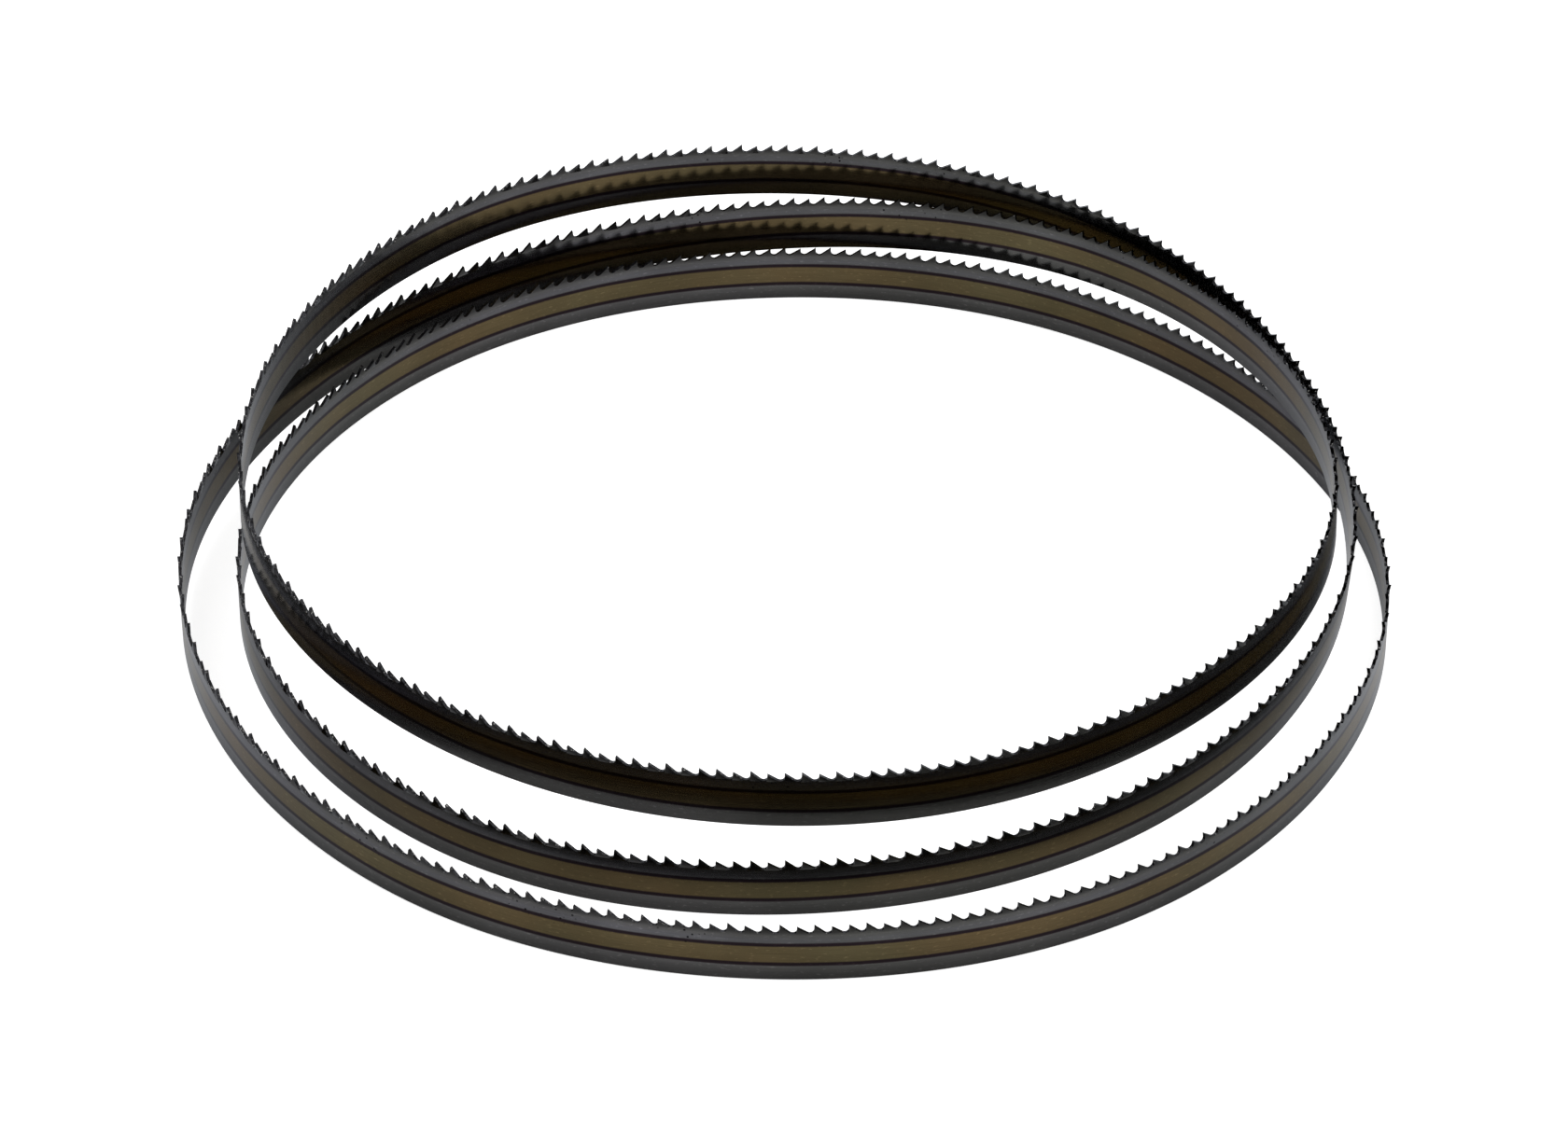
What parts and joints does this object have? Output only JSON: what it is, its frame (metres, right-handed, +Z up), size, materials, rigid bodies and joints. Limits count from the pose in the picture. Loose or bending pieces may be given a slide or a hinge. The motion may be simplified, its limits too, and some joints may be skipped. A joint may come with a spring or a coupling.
{
  "type": "band saw blade",
  "caption": "Toothed steel blade for a band saw: one endless flexible strip with set teeth, lying coiled in loops on its back edge.",
  "frame": {"origin": "on the table under the middle of the coil's bounding box", "axes": "+Z up through the coil, from the back edge towards the teeth; the band runs three times anticlockwise about it; +Y towards the side where the loops stand highest"},
  "size_m": [0.2446, 0.2502, 0.0317],
  "materials": {
    "blade_steel": "satin"
  },
  "bodies": {
    "root": {"saw_band": "blade_steel"}
  },
  "joints": []
}
